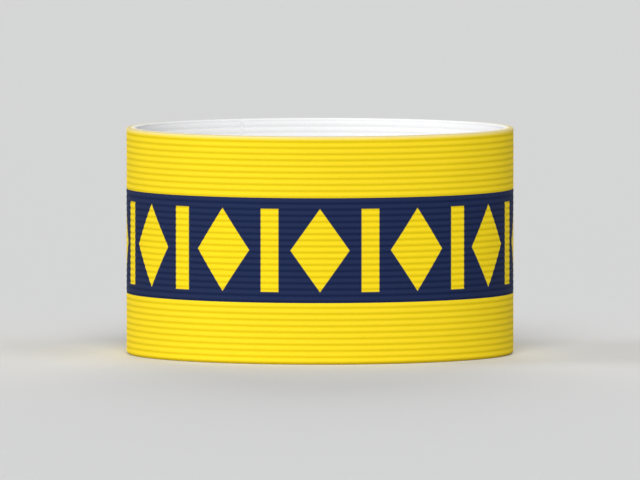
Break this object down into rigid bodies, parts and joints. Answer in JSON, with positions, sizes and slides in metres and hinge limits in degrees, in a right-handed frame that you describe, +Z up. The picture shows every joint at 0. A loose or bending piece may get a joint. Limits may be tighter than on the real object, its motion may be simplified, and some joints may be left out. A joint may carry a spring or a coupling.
{
  "type": "captain's armband",
  "caption": "Tubular ribbed elastic sports armband, yellow with a navy stripe round its middle and a white inside, standing on its lower rim.",
  "frame": {"origin": "middle of the lower rim, on the plane where the band stands", "axes": "+Z up along the axis of the tube, -Y towards the front, +X to the right seen from the front; the seam is at the back, towards -X"},
  "size_m": [0.0856, 0.0856, 0.05],
  "materials": {
    "white_elastic": "matte knitted elastic, undyed",
    "yellow_elastic": "matte ribbed elastic, dyed yellow",
    "navy_elastic": "matte ribbed elastic, dyed navy with a yellow printed ornament"
  },
  "bodies": {
    "root": {"lining": "white_elastic", "lower_band": "yellow_elastic", "centre_stripe": "navy_elastic", "upper_band": "yellow_elastic"}
  },
  "joints": []
}
